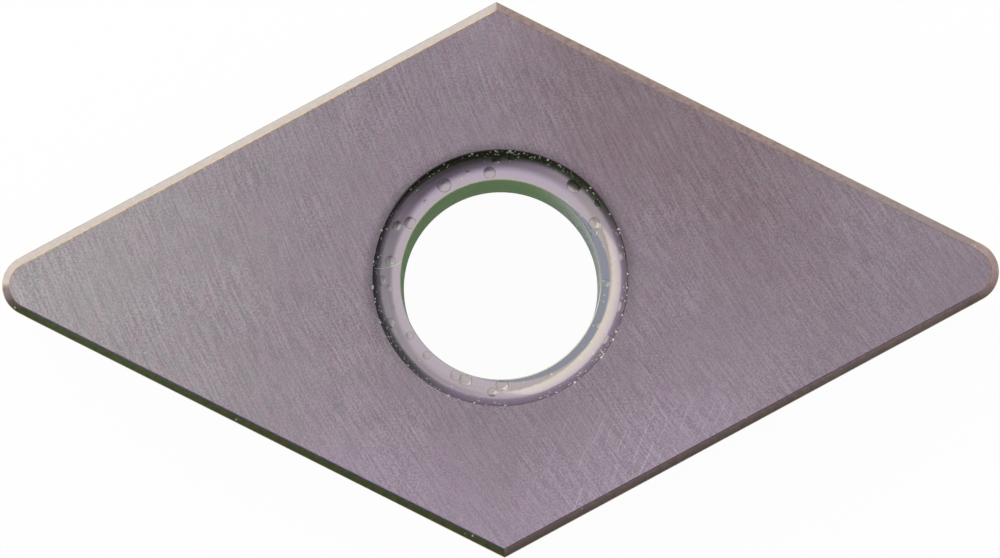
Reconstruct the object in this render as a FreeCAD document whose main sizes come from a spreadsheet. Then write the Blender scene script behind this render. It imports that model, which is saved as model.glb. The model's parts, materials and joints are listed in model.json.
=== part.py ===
# Double-sided turning insert, ground all over from one piece of sintered ceramic.
#
# The outline is a rhombus that its four flanks draw round an inscribed circle. The two acute
# corners carry the nose radius, and the two obtuse ones are sharp. A flat land runs round both
# faces as a negative bevel that strengthens the cutting edge, and every cutting edge is honed.
# The fixing bore opens into a coved mouth at each face. The faces and the flanks are mirror
# images about the mid plane, so all four noses cut.
#
# Frame: X along the long diagonal, Y along the short one, Z up the bore. The origin is on the
# bore's axis at the lower face, which is the face that the insert lies on.
import FreeCAD
import Part
import Sketcher
import math
import os

NODE = "turning_insert"
SHEET = "Dimensions"
TOLERANCE = 1e-6

# Each row is a cell's alias, its value and what it measures, in millimetres or degrees.
DIMENSIONS = [
    ("InscribedCircle", 12.7, "diameter of the circle that touches all four flanks"),
    ("CornerAngle", 55.0, "angle between the two flanks that meet at a nose"),
    ("Thickness", 4.76, "height from face to face"),
    ("NoseRadius", 0.8, "radius of the two acute corners"),
    ("LandWidth", 0.2, "width of the land, measured along the face"),
    ("LandAngle", 25.0, "slope of the land below the face"),
    ("HoneRadius", 0.02, "rounding of every cutting edge"),
    ("BoreDiameter", 5.16, "fixing bore"),
    ("MouthWidth", 0.71, "width of the mouth, from the bore's wall out to its rim"),
    ("MouthDepth", 0.45, "depth of the mouth below the face"),
    ("CoveRadius", 0.8, "radius of the mouth's hollow section"),
    ("RimBreak", 0.05, "bevel that takes the edge off the mouth's rim"),
    ("BoreEdgeRadius", 0.03, "rounding where the mouth drops into the bore"),
]


def make_sheet(doc):
    """Writes the driving dimensions into a sheet, one alias to a row."""
    sheet = doc.addObject("Spreadsheet::Sheet", SHEET)
    for row, (alias, value, meaning) in enumerate(DIMENSIONS, start=1):
        sheet.set(f"A{row}", str(value))
        sheet.setAlias(f"A{row}", alias)
        sheet.set(f"B{row}", meaning)
    doc.recompute()
    return sheet


def attach(body, sketch, role):
    """Lays a sketch on one of its body's own origin planes."""
    plane = [f for f in body.Origin.OriginFeatures if f.Role == role][0]
    sketch.AttachmentSupport = [(plane, "")]
    sketch.MapMode = "FlatFace"


def bind(sketch, index, name, expression):
    """Names a sketch's constraint and ties it to the sheet."""
    sketch.renameConstraint(index, name)
    sketch.setExpression(f"Constraints.{name}", expression)


def outline_sketch(body, sheet):
    """The rhombus: four flanks that touch the inscribed circle, and a nose at each acute corner."""
    sketch = body.newObject("Sketcher::SketchObject", "Outline")
    attach(body, sketch, "XY_Plane")
    radius = sheet.InscribedCircle / 2
    half = math.radians(sheet.CornerAngle / 2)
    nose = sheet.NoseRadius
    tip_x = radius / math.sin(half)
    blunt_y = radius / math.cos(half)
    nose_x = tip_x - nose / math.sin(half)

    def point(x, y):
        return FreeCAD.Vector(x, y, 0)

    # A flank leaves the nose where the arc turns parallel to it, and runs to the obtuse corner.
    leave_x = nose_x + nose * math.sin(half)
    leave_y = nose * math.cos(half)
    flanks = []
    for side_x, side_y in ((1, 1), (-1, 1), (-1, -1), (1, -1)):
        start = point(side_x * leave_x, side_y * leave_y)
        end = point(0, side_y * blunt_y)
        flanks.append(sketch.addGeometry(Part.LineSegment(start, end), False))
    right_up, left_up, left_down, right_down = flanks
    noses = []
    for side, middle in ((1, 0), (-1, math.pi)):
        circle = Part.Circle(point(side * nose_x, 0), FreeCAD.Vector(0, 0, 1), nose)
        turn = math.pi / 2 - half
        arc = Part.ArcOfCircle(circle, middle - turn, middle + turn)
        noses.append(sketch.addGeometry(arc, False))
    right_nose, left_nose = noses
    gauge = Part.Circle(point(0, 0), FreeCAD.Vector(0, 0, 1), radius)
    inscribed = sketch.addGeometry(gauge, True)

    start, end, centre = 1, 2, 3
    add = sketch.addConstraint
    add(Sketcher.Constraint("Coincident", inscribed, centre, -1, 1))
    add(Sketcher.Constraint("Coincident", right_up, end, left_up, end))
    add(Sketcher.Constraint("Coincident", right_down, end, left_down, end))
    add(Sketcher.Constraint("Tangent", right_nose, end, right_up, start))
    add(Sketcher.Constraint("Tangent", right_nose, start, right_down, start))
    add(Sketcher.Constraint("Tangent", left_nose, start, left_up, start))
    add(Sketcher.Constraint("Tangent", left_nose, end, left_down, start))
    for flank in flanks:
        add(Sketcher.Constraint("Tangent", flank, inscribed))
    for arc in noses:
        add(Sketcher.Constraint("PointOnObject", arc, centre, -1))
    add(Sketcher.Constraint("PointOnObject", right_up, end, -2))
    add(Sketcher.Constraint("Equal", right_nose, left_nose))
    size = add(Sketcher.Constraint("Diameter", inscribed, sheet.InscribedCircle))
    bind(sketch, size, "InscribedCircle", f"{SHEET}.InscribedCircle")
    size = add(Sketcher.Constraint("Radius", right_nose, nose))
    bind(sketch, size, "NoseRadius", f"{SHEET}.NoseRadius")
    size = add(Sketcher.Constraint("Angle", right_down, start, right_up, start, 2 * math.pi - 2 * half))
    bind(sketch, size, "CornerAngle", f"360 - {SHEET}.CornerAngle")
    return sketch


def blank(body, sketch):
    """The prism between the two ground faces, set evenly about the mid plane."""
    pad = body.newObject("PartDesign::Pad", "Blank")
    pad.Profile = sketch
    pad.SideType = "Symmetric"
    pad.setExpression("Length", f"{SHEET}.Thickness")
    return pad


def edges_where(feature, wanted):
    """Names of the edges of a feature's shape for which wanted(edge) is true."""
    return [f"Edge{n}" for n, edge in enumerate(feature.Shape.Edges, start=1) if wanted(edge)]


def lies_at(edge, heights):
    """True if the whole edge lies at one of the heights."""
    box = edge.BoundBox
    level = box.ZMax - box.ZMin < TOLERANCE
    return level and any(abs(box.ZMax - z) < TOLERANCE for z in heights)


def round_the_axis(edge):
    """True if the edge is a full circle about the bore's axis."""
    curve = edge.Curve
    is_circle = isinstance(curve, Part.Circle)
    return is_circle and edge.isClosed() and math.hypot(curve.Center.x, curve.Center.y) < TOLERANCE


def lands(body, base, sheet):
    """The bevel round both faces, as wide along the face as the sheet says."""
    faces = (sheet.Thickness / 2, -sheet.Thickness / 2)
    land = body.newObject("PartDesign::Chamfer", "Lands")
    land.Base = (base, edges_where(base, lambda edge: lies_at(edge, faces)))
    land.ChamferType = "Distance and Angle"
    land.FlipDirection = True
    land.setExpression("Size", f"{SHEET}.LandWidth")
    land.setExpression("Angle", f"{SHEET}.LandAngle")
    return land


def check_lands(land, sheet):
    """Stops if a land is turned over, with its width down the flank and not along the face."""
    upright = {"face": 1.0, "land": math.cos(math.radians(sheet.LandAngle)), "flank": 0.0}
    for face in land.Shape.Faces:
        if isinstance(face.Surface, Part.Plane):
            normal_z = abs(face.Surface.Axis.z)
            if min(abs(normal_z - known) for known in upright.values()) > TOLERANCE:
                raise RuntimeError(f"a face of the lands has its normal at {normal_z:.6f} upright")


def hone(body, base, sheet):
    """The small rounding that follows both sides of each land and its obtuse corners."""
    top = sheet.Thickness / 2
    drop = sheet.LandWidth * math.tan(math.radians(sheet.LandAngle))
    levels = (top, top - drop, drop - top, -top)

    def is_cutting_edge(edge):
        middle = edge.valueAt((edge.FirstParameter + edge.LastParameter) / 2)
        return lies_at(edge, levels) or abs(middle.x) < TOLERANCE

    rounding = body.newObject("PartDesign::Fillet", "Hone")
    rounding.Base = (base, edges_where(base, is_cutting_edge))
    rounding.setExpression("Radius", f"{SHEET}.HoneRadius")
    return rounding


def bore(body, sheet):
    """The fixing bore, cut through both faces from the mid plane."""
    sketch = body.newObject("Sketcher::SketchObject", "BoreCircle")
    attach(body, sketch, "XY_Plane")
    circle = Part.Circle(FreeCAD.Vector(0, 0, 0), FreeCAD.Vector(0, 0, 1), sheet.BoreDiameter / 2)
    wall = sketch.addGeometry(circle, False)
    sketch.addConstraint(Sketcher.Constraint("Coincident", wall, 3, -1, 1))
    size = sketch.addConstraint(Sketcher.Constraint("Diameter", wall, sheet.BoreDiameter))
    bind(sketch, size, "BoreDiameter", f"{SHEET}.BoreDiameter")
    pocket = body.newObject("PartDesign::Pocket", "Bore")
    pocket.Profile = sketch
    pocket.Type = "ThroughAll"
    pocket.SideType = "Symmetric"
    return pocket


def mouth(body, sheet):
    """The coved mouth at the upper face, turned about the bore's axis."""
    sketch = body.newObject("Sketcher::SketchObject", "MouthSection")
    attach(body, sketch, "XZ_Plane")
    wall = sheet.BoreDiameter / 2
    rim = wall + sheet.MouthWidth
    face = sheet.Thickness / 2
    shelf = face - sheet.MouthDepth
    lip = face - sheet.RimBreak
    throat = rim - sheet.RimBreak

    def point(x, y):
        return FreeCAD.Vector(x, y, 0)

    # The cove is an arc of the given radius from the bore's wall up to the foot of the rim's
    # bevel, and its centre lies on the hollow side of that chord.
    low, high = point(wall, shelf), point(throat, lip)
    chord = high - low
    to_centre = FreeCAD.Vector(-chord.y, chord.x, 0).normalize()
    reach = math.sqrt(sheet.CoveRadius**2 - (chord.Length / 2) ** 2)
    centre = low + chord * 0.5 + to_centre * reach
    from_low = math.atan2(low.y - centre.y, low.x - centre.x)
    to_high = math.atan2(high.y - centre.y, high.x - centre.x)
    hollow = Part.Circle(centre, FreeCAD.Vector(0, 0, 1), sheet.CoveRadius)
    cove = sketch.addGeometry(Part.ArcOfCircle(hollow, from_low, to_high), False)
    corners = [high, point(rim, face), point(0, face), point(0, shelf), low]
    bevel, lid, spine, floor = [
        sketch.addGeometry(Part.LineSegment(corners[n], corners[n + 1]), False) for n in range(4)
    ]
    start, end = 1, 2
    add = sketch.addConstraint
    add(Sketcher.Constraint("Coincident", cove, end, bevel, start))
    add(Sketcher.Constraint("Coincident", bevel, end, lid, start))
    add(Sketcher.Constraint("Coincident", lid, end, spine, start))
    add(Sketcher.Constraint("Coincident", spine, end, floor, start))
    add(Sketcher.Constraint("Coincident", floor, end, cove, start))
    add(Sketcher.Constraint("Horizontal", lid))
    add(Sketcher.Constraint("Horizontal", floor))
    add(Sketcher.Constraint("Vertical", spine))
    add(Sketcher.Constraint("PointOnObject", spine, start, -2))
    sizes = [
        ("FaceHeight", ("DistanceY", -1, 1, lid, start, face), f"{SHEET}.Thickness / 2"),
        ("Depth", ("DistanceY", spine, end, spine, start, face - shelf), f"{SHEET}.MouthDepth"),
        ("Wall", ("DistanceX", spine, end, floor, end, wall), f"{SHEET}.BoreDiameter / 2"),
        ("Width", ("DistanceX", floor, end, lid, start, rim - wall), f"{SHEET}.MouthWidth"),
        ("BreakAcross", ("DistanceX", bevel, start, bevel, end, rim - throat), f"{SHEET}.RimBreak"),
        ("BreakDown", ("DistanceY", bevel, start, bevel, end, face - lip), f"{SHEET}.RimBreak"),
        ("CoveRadius", ("Radius", cove, sheet.CoveRadius), f"{SHEET}.CoveRadius"),
    ]
    for name, constraint, expression in sizes:
        bind(sketch, add(Sketcher.Constraint(*constraint)), name, expression)
    groove = body.newObject("PartDesign::Groove", "Mouth")
    groove.Profile = sketch
    groove.ReferenceAxis = (sketch, ["V_Axis"])
    return groove


def other_mouth(body, groove):
    """The same mouth at the lower face, mirrored about the mid plane."""
    mirrored = body.newObject("PartDesign::Mirrored", "OtherMouth")
    mirrored.Originals = [groove]
    plane = [f for f in body.Origin.OriginFeatures if f.Role == "XY_Plane"][0]
    mirrored.MirrorPlane = (plane, [""])
    body.Tip = mirrored
    return mirrored


def bore_edges(body, base, sheet):
    """The small rounding at each end of the bore's wall."""
    shelf = sheet.Thickness / 2 - sheet.MouthDepth
    edges = edges_where(base, lambda e: lies_at(e, (shelf, -shelf)) and round_the_axis(e))
    rounding = body.newObject("PartDesign::Fillet", "BoreEdges")
    rounding.Base = (base, edges)
    rounding.setExpression("Radius", f"{SHEET}.BoreEdgeRadius")
    return rounding


def build_insert(doc, sheet):
    """Builds the insert and returns its body, checking that each step takes material away."""
    body = doc.addObject("PartDesign::Body", "Insert")
    body.Label = NODE
    prism = blank(body, outline_sketch(body, sheet))
    doc.recompute()
    steps = [prism]
    makers = [
        lambda base: lands(body, base, sheet),
        lambda base: hone(body, base, sheet),
        lambda base: bore(body, sheet),
        lambda base: mouth(body, sheet),
        lambda base: other_mouth(body, base),
        lambda base: bore_edges(body, base, sheet),
    ]
    for make in makers:
        feature = make(steps[-1])
        doc.recompute()
        if not feature.Shape.Volume < steps[-1].Shape.Volume:
            raise RuntimeError(f"{feature.Name} took nothing away")
        steps.append(feature)
    check_lands(doc.getObject("Lands"), sheet)
    body.setExpression("Placement.Base.z", f"{SHEET}.Thickness / 2")
    doc.recompute()
    return body


def check(doc, parts):
    """Stops if any object failed, or if a part isn't one valid solid."""
    failed = [o.Name for o in doc.Objects if {"Invalid", "Error"} & set(o.State)]
    if failed:
        raise RuntimeError(f"these objects failed: {failed}")
    for part in parts:
        shape = part.Shape
        if shape.isNull() or not shape.isValid() or len(shape.Solids) != 1:
            raise RuntimeError(f"{part.Label} isn't one valid solid")


def main():
    doc = FreeCAD.newDocument("TurningInsert")
    sheet = make_sheet(doc)
    parts = [build_insert(doc, sheet)]
    check(doc, parts)
    os.makedirs("parts", exist_ok=True)
    for part in parts:
        part.Shape.exportStep(f"parts/{part.Label}.step")
        box = part.Shape.optimalBoundingBox()
        print(f"{part.Label}: {box.XLength:.3f} x {box.YLength:.3f} x {box.ZLength:.3f} mm")
        print(f"volume {part.Shape.Volume:.2f} mm3, {len(part.Shape.Faces)} faces")


main()
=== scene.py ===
"""Ceramic turning insert: its finished body, its coating and the studio it is seen in."""

import json
import math
from functools import partial

import bpy
from bpy.props import FloatProperty, FloatVectorProperty, IntProperty, PointerProperty
from mathutils import Euler, Matrix, Vector


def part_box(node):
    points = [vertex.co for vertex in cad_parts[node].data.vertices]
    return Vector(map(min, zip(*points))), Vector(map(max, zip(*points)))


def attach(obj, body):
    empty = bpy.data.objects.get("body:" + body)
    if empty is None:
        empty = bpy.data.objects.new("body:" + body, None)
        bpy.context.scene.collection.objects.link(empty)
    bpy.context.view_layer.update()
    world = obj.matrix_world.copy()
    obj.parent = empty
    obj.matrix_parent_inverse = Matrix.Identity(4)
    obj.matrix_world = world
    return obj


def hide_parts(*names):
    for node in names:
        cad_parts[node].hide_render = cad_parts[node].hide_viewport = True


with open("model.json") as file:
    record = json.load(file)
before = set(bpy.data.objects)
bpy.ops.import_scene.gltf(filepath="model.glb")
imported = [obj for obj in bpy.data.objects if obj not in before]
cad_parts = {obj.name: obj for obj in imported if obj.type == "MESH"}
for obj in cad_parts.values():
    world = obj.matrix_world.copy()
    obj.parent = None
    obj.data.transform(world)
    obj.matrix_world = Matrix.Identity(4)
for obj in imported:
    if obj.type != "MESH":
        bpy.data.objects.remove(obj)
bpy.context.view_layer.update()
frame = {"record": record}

bl_info = {
    "name": "Ceramic Turning Insert",
    "version": (1, 0, 0),
    "blender": (4, 5, 0),
    "location": "View3D > Sidebar > Insert",
    "description": "Makes a ground and coated rhombic turning insert and a plain studio for it",
    "category": "Object",
}

NODE = "turning_insert"
BODY = "root"
PIECE = "ground_insert"
MM = 0.001

MOUNTS = {mount["name"]: mount for mount in frame["record"]["mounts"]}
FLANK = MOUNTS["flank_right_back"]
NODE_LOW, NODE_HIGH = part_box(NODE)
BORE_RADIUS_MM = MOUNTS["bore"]["dims"]["r_mm"]
INSCRIBED_RADIUS = math.hypot(*FLANK["pos_m"][:2])
HALF_CORNER = math.asin(FLANK["axis"][0])

# Two flanks would meet in a point. The arc that rounds it stops short of it by a length that
# only its radius and the corner's angle set, so the node's box gives both radii back.
NOSE_TIP = 1 / math.sin(HALF_CORNER)
NOSE_RADIUS = (INSCRIBED_RADIUS * NOSE_TIP - NODE_HIGH.x) / (NOSE_TIP - 1)
SIDE_TIP = 1 / math.cos(HALF_CORNER)
SIDE_RADIUS = (INSCRIBED_RADIUS * SIDE_TIP - NODE_HIGH.y) / (SIDE_TIP - 1)

# Pits that gas left in the fired mouth: each one's bearing about the bore in degrees, its
# distance from the bore's axis and its width, both in millimetres.
MOUTH_PITS = [
    (91, 3.10, 0.28), (84, 3.16, 0.26), (95, 2.77, 0.31), (106, 2.88, 0.10), (120, 2.83, 0.36),
    (51, 3.06, 0.39), (37, 3.16, 0.21), (30, 2.82, 0.31), (26, 2.68, 0.26), (147, 2.75, 0.31),
    (152, 3.01, 0.27), (133, 2.79, 0.10), (170, 2.88, 0.29), (180, 3.05, 0.26), (184, 2.89, 0.20),
    (201, 3.04, 0.27), (194, 2.82, 0.10), (211, 2.75, 0.21), (225, 2.73, 0.21), (244, 2.73, 0.26),
    (250, 2.75, 0.34), (270, 2.72, 0.33), (265, 2.92, 0.26), (297, 2.73, 0.13), (320, 2.70, 0.10),
    (334, 2.75, 0.15), (357, 2.70, 0.21), (10, 3.19, 0.28), (346, 3.20, 0.33), (329, 3.19, 0.31),
]

# Broken-out grains on the lands: x, y and width in millimetres.
NICKS = [
    (12.13, 0.69, 0.06), (12.20, 0.65, 0.08), (12.25, 0.60, 0.05), (12.36, 0.55, 0.06),
    (12.42, 0.50, 0.07), (12.46, 0.43, 0.05), (6.24, -3.67, 0.05), (2.00, -5.93, 0.06),
    (-0.81, -6.59, 0.06), (-4.71, -4.45, 0.05), (-6.83, -3.52, 0.06), (-12.49, -0.56, 0.06),
]

# Kinds of node with the settings that each is used with.
MATH = "ShaderNodeMath"
POINT_MATH = "ShaderNodeVectorMath"
PLUS = (MATH, {"operation": "ADD"})
MINUS = (MATH, {"operation": "SUBTRACT"})
TIMES = (MATH, {"operation": "MULTIPLY"})
OVER = (MATH, {"operation": "DIVIDE"})
SHARE = (MATH, {"operation": "DIVIDE", "use_clamp": True})
TIMES_PLUS = (MATH, {"operation": "MULTIPLY_ADD"})
LARGER = (MATH, {"operation": "MAXIMUM"})
POWER = (MATH, {"operation": "POWER"})
SINE = (MATH, {"operation": "SINE"})
COSINE = (MATH, {"operation": "COSINE"})
TANGENT = (MATH, {"operation": "TANGENT"})
ARCSINE = (MATH, {"operation": "ARCSINE"})
ARCTAN2 = (MATH, {"operation": "ARCTAN2"})
UNSIGNED = (MATH, {"operation": "ABSOLUTE"})
ABOVE = (MATH, {"operation": "GREATER_THAN"})
POINT = "ShaderNodeCombineXYZ"
APART = "ShaderNodeSeparateXYZ"
LESS_POINT = (POINT_MATH, {"operation": "SUBTRACT"})
PLUS_POINT = (POINT_MATH, {"operation": "ADD"})
TIMES_POINT = (POINT_MATH, {"operation": "MULTIPLY"})
STRETCH = (POINT_MATH, {"operation": "SCALE"})
CROSS = (POINT_MATH, {"operation": "CROSS_PRODUCT"})
UNIT = (POINT_MATH, {"operation": "NORMALIZE"})
LENGTH = (POINT_MATH, {"operation": "LENGTH"})
ALONG = (POINT_MATH, {"operation": "DOT_PRODUCT"})
DISTANCE = (POINT_MATH, {"operation": "DISTANCE"})
MIX_POINTS = ("ShaderNodeMix", {"data_type": "VECTOR"})
MIX_TINTS = ("ShaderNodeMix", {"data_type": "RGBA"})
ADD_TINT = ("ShaderNodeMix", {"data_type": "RGBA", "blend_type": "ADD"})
SHADE_TINT = ("ShaderNodeMix", {"data_type": "RGBA", "blend_type": "MULTIPLY"})
RAMP = ("ShaderNodeMapRange", {"interpolation_type": "SMOOTHSTEP"})
NOISE = ("ShaderNodeTexNoise", {"noise_dimensions": "3D"})
CELLS = ("ShaderNodeTexVoronoi", {"voronoi_dimensions": "2D"})
FLAT_NOISE = ("ShaderNodeTexNoise", {"noise_dimensions": "2D"})
BEYOND = ("FunctionNodeCompare", {"operation": "GREATER_THAN"})
OWN_NUMBER = ("GeometryNodeInputNamedAttribute", {"data_type": "FLOAT"})
KEEP_NUMBER = ("GeometryNodeStoreNamedAttribute", {"data_type": "FLOAT", "domain": "POINT"})
CURVE_COUNTS = ("GeometryNodeAttributeDomainSize", {"component": "CURVE"})
NUMBER_AT = ("GeometryNodeSampleIndex", {"data_type": "FLOAT"})
POINT_AT = ("GeometryNodeSampleIndex", {"data_type": "FLOAT_VECTOR"})


def colour(hex_value):
    """Turns an sRGB hex value such as "A89BA2" into Blender's linear colour."""
    channels = [int(hex_value[n : n + 2], 16) / 255 for n in (0, 2, 4)]
    linear = [c / 12.92 if c <= 0.04045 else ((c + 0.055) / 1.055) ** 2.4 for c in channels]
    return (*linear, 1.0)


def feed(made, sockets):
    """Feeds a node's sockets, given as a list in the node's own order or a dict by identifier.

    A value there is a plain one, an output to link from, or a list of outputs where a socket
    takes several.
    """
    links = made.id_data.links
    by_identifier = {socket.identifier: socket for socket in made.inputs}
    for key, value in sockets.items() if isinstance(sockets, dict) else enumerate(sockets):
        socket = made.inputs[key] if isinstance(key, int) else by_identifier[key]
        if isinstance(value, bpy.types.NodeSocket):
            links.new(value, socket)
        elif isinstance(value, list):
            for output in value:
                links.new(output, socket)
        else:
            socket.default_value = value


def node(tree, kind, sockets=(), out=0):
    """Adds one node, sets it up, feeds its sockets and gives back one of its outputs.

    A kind is the node's type, or that and its settings. The functions below are given this one
    bound to their tree, as add.
    """
    kind_name, settings = (kind, {}) if isinstance(kind, str) else kind
    made = tree.nodes.new(kind_name)
    for name, value in settings.items():
        setattr(made, name, value)
    feed(made, sockets)
    return made.outputs[out] if made.outputs else made


def length(name, description, default):
    """A property that holds a length of the insert, given in metres."""
    return FloatProperty(
        name=name, description=description, default=default, min=0, unit="LENGTH", precision=6
    )


def angle(name, description, default):
    """A property that holds an angle, given in radians."""
    return FloatProperty(name=name, description=description, default=default, subtype="ANGLE")


def proportion(name, description, default):
    """A property that holds a share, such as a depth as a share of a width."""
    return FloatProperty(name=name, description=description, default=default, subtype="FACTOR")


def tint(name, description, default):
    """A property that holds a colour, given as a hex value."""
    linear = colour(default)
    return FloatVectorProperty(
        name=name, description=description, default=linear, size=4, min=0, max=1, subtype="COLOR"
    )


def own_properties(group):
    """The properties that a group declares itself."""
    return [item for item in group.bl_rna.properties if item.identifier not in ("rna_type", "name")]


class InsertSizes(bpy.types.PropertyGroup):
    """Sizes of the insert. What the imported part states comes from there."""

    inscribed_circle: length(
        "Inscribed Circle", "Diameter of the circle that touches all four flanks", 2 * INSCRIBED_RADIUS
    )
    corner_angle: angle("Corner Angle", "Angle between the two flanks at a nose", 2 * HALF_CORNER)
    thickness: length("Thickness", "Height from face to face", NODE_HIGH.z - NODE_LOW.z)
    nose_radius: length("Nose Radius", "Radius of the two acute corners", NOSE_RADIUS)
    side_radius: length("Side Radius", "Radius of the two obtuse corners", SIDE_RADIUS)
    land_width: length("Land Width", "Width of the land, measured along the face", 0.2 * MM)
    land_angle: angle("Land Angle", "Slope of the land below the face", math.radians(25))
    inner_hone: length("Inner Hone", "Rounding between the face and the land", 0.05 * MM)
    outer_hone: length("Outer Hone", "Rounding between the land and the flank", 0.03 * MM)
    bore_diameter: length("Bore Diameter", "Diameter of the fixing bore", 2 * MM * BORE_RADIUS_MM)
    bore_edge: length("Bore Edge", "Rounding where the mouth drops into the bore", 0.03 * MM)
    mouth_width: length("Mouth Width", "Width of the mouth, from the bore's wall out", 0.71 * MM)
    mouth_depth: length("Mouth Depth", "Depth of the mouth below the face", 0.45 * MM)
    cove_radius: length("Cove Radius", "Radius of the mouth's hollow section", 0.8 * MM)
    rim_break: length("Rim Break", "Bevel that takes the edge off the mouth's rim", 0.05 * MM)
    margin: length("Margin", "Width of the strips that keep a flat side flat by its edge", 0.06 * MM)
    pit_depth: proportion("Pit Depth", "Depth of a pit as a share of its width", 0.085)
    chip_width: length("Chip Width", "Width of the largest chips along the mouth's rim", 0.085 * MM)
    chip_depth: proportion("Chip Depth", "Depth of a chip as a share of its width", 0.18)
    chips: IntProperty(name="Chips", description="Number of chips round each mouth's rim", default=430)
    seed: IntProperty(name="Seed", description="Seed of the chips' places and sizes", default=7)


class InsertColours(bpy.types.PropertyGroup):
    """Colours of the coating, which differ with its thickness, and of the bare ceramic, some of which
    carry painted light and shade.
    """

    # The face's left, right, back right and front tints are partly painted light and shade, where the
    # light's reflection changes across the face.
    face_left: tint("Face, Left", "Paler end of the ground face", "A9A2A5")
    face_right: tint("Face, Right", "Mauve main part of the ground face", "8E808C")
    face_back_right: tint("Face, Back Right", "Darker side of the ground face", "83717A")
    face_front: tint("Face, Front", "Ground face towards the front flanks", "AD9CB0")
    film_green: tint("Film, Green", "Grains of the ground face where the coating is thicker", "F4FFF8")
    film_pink: tint("Film, Pink", "Grains of the ground face where the coating is thinner", "FFF4FB")
    face_grey: tint("Face, Grey", "Bands of the ground face where the coating is thinner", "918D91")
    land_back_left: tint("Land, Back Left", "Land of the left back side", "ABA3A7")
    land_back_right: tint("Land, Back Right", "Land of the right back side", "A89493")
    land_grey: tint("Land, Grey", "Land of the right back side towards the nose", "A89B9E")
    # Painted shade: the left front land's dark green tint.
    land_front_left: tint("Land, Front Left", "Land of the left front side", "4A573F")
    land_front_right: tint("Land, Front Right", "Land of the right front side", "8F7F7C")
    land_nose: tint("Land, Nose", "Land of the left nose, in front", "71636F")
    inner_back_left: tint("Inner Edge, Back Left", "Edge between face and land", "E0BA76")
    inner_back_right: tint("Inner Edge, Back Right", "Edge between face and land", "8E7874")
    inner_front_left: tint("Inner Edge, Front Left", "Edge between face and land", "80709A")
    inner_front_right: tint("Inner Edge, Front Right", "Edge between face and land", "6A4C62")
    outer_back_left: tint("Outer Edge, Back Left", "Edge between land and flank", "A8A08C")
    outer_back_right: tint("Outer Edge, Back Right", "Edge between land and flank", "A89458")
    outer_front_left: tint("Outer Edge, Front Left", "Edge between land and flank", "86783C")
    outer_front_right: tint("Outer Edge, Front Right", "Edge between land and flank", "A0906E")
    inner_nose: tint("Inner Edge, Noses", "Honed inner edge of the land round the noses", "A67B58")
    outer_nose: tint("Outer Edge, Noses", "Honed outer edge of the land round the noses", "DDB06C")
    # The outer tint is darker than the inner one by painted shade.
    mouth_inner: tint("Mouth, Inner", "Mouth beside the bore", "B5AAB3")
    mouth_outer: tint("Mouth, Outer", "Mouth below its rim", "A8A0A8")
    mouth_front: tint("Mouth, Front", "Front of the mouth below its rim", "A591B0")
    # Colours the key lamp's highlight on the front right: a painted highlight colour.
    mouth_cream: tint("Mouth, Cream", "Front of the mouth beside the bore", "AFA6A4")
    # Painted shade: the violet dark band and the dark band at the back.
    mouth_violet: tint("Mouth, Violet", "Dark band of the mouth at its sides and front", "4A3A55")
    mouth_back: tint("Mouth, Back", "Back of the mouth", "B5A6B9")
    mouth_edge: tint("Mouth, Edge", "Dark band of the mouth at its back", "433D3D")
    # Painted shade, not a thicker coating: a darker bluish zone on the right of the mouth.
    mouth_blue: tint("Mouth, Blue", "Thicker coating on the right of the mouth", "8A8D99")
    pit: tint("Pit", "Inside of a pit", "A6A688")
    # Painted shade: dark green inside pits at the back.
    pit_back: tint("Pit, Back", "Inside of a pit in the dark band at the back", "34442C")
    # Painted shade round a pit's edge.
    pit_edge: tint("Pit Edge", "Edge of a pit", "453E44")
    # Painted shade on the mouth's edge.
    rim: tint("Rim", "Edge of the mouth", "363120")
    # Painted highlight along the bore's edge.
    bore_edge: tint("Bore Edge", "Edge of the bore at the back", "E2DAC0")
    bore: tint("Bore", "Wall of the bore", "93B083")
    # Painted light on the right side of the bore's wall.
    bore_right: tint("Bore, Right", "Right side of the bore's wall", "D0D2DA")
    nick: tint("Nick", "Where a grain has broken out of a land", "B4B0B4")
    speck: tint("Speck", "Specks and a hair of bare glaze in the mouth", "B4C8B0")
    bare: tint("Bare Ceramic", "Ceramic that a chip has bared", "C4C8BC")
    blotch: tint("Blotch", "Brown blotches of the coating on the lands", "5E5038")


class StudioSizes(bpy.types.PropertyGroup):
    """Places of the camera and the floor, and the colours of the floor and the light tent."""

    camera_height: length("Camera Height", "Height of the camera above the insert's face", 112 * MM)
    camera_foot: length("Camera Foot", "Distance of the camera in front of the aimed point", 7.3 * MM)
    camera_roll: angle("Camera Roll", "Turn of the camera about its line of sight", math.radians(-0.85))
    lens: FloatProperty(
        name="Lens",
        description="Focal length that shows the insert as large as in the photograph",
        default=157.3,
        unit="CAMERA",
    )
    floor_width: length("Floor Width", "Width of the square floor", 2.0)
    floor: tint("Floor", "Pale floor", "FCFCFB")
    tent_front: tint("Tent, Front", "Front of the light tent, beside the camera", "6C6C6D")
    tent_right: tint("Tent, Right", "What the right of the light tent adds", "B6B5B6")
    tent_left: tint("Tent, Left", "What the left and back of the light tent add", "CECBC6")
    tent_top: tint("Tent, Top", "Top of the light tent", "F2F2F2")


# Two faces that meet at more than this are shaded as an edge.
SHARP_FOLD = math.radians(32)

# Columns of faces in a quarter of the plan: round the obtuse corner, along the flank and round
# the nose. Rows are set by the section.
SIDE_STEPS = 3
FLANK_STEPS = 153
NOSE_STEPS = 14
COLUMNS = SIDE_STEPS + FLANK_STEPS + NOSE_STEPS

# The section's corners have numbers, in order from the bore to the flank, and what lies between
# two of them has numbers in between, which tell the wear and the finishes where they are.
PLACE = "place"
PITTED = "pitted"
BARED = "bared"
REACH = "reach"
BORE_MIDDLE, WALL_TOP, COVE, RIM_FOOT, RIM, FACE_INNER, FACE_OUTER, FACE_EDGE, LAND_EDGE = range(9)

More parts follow.
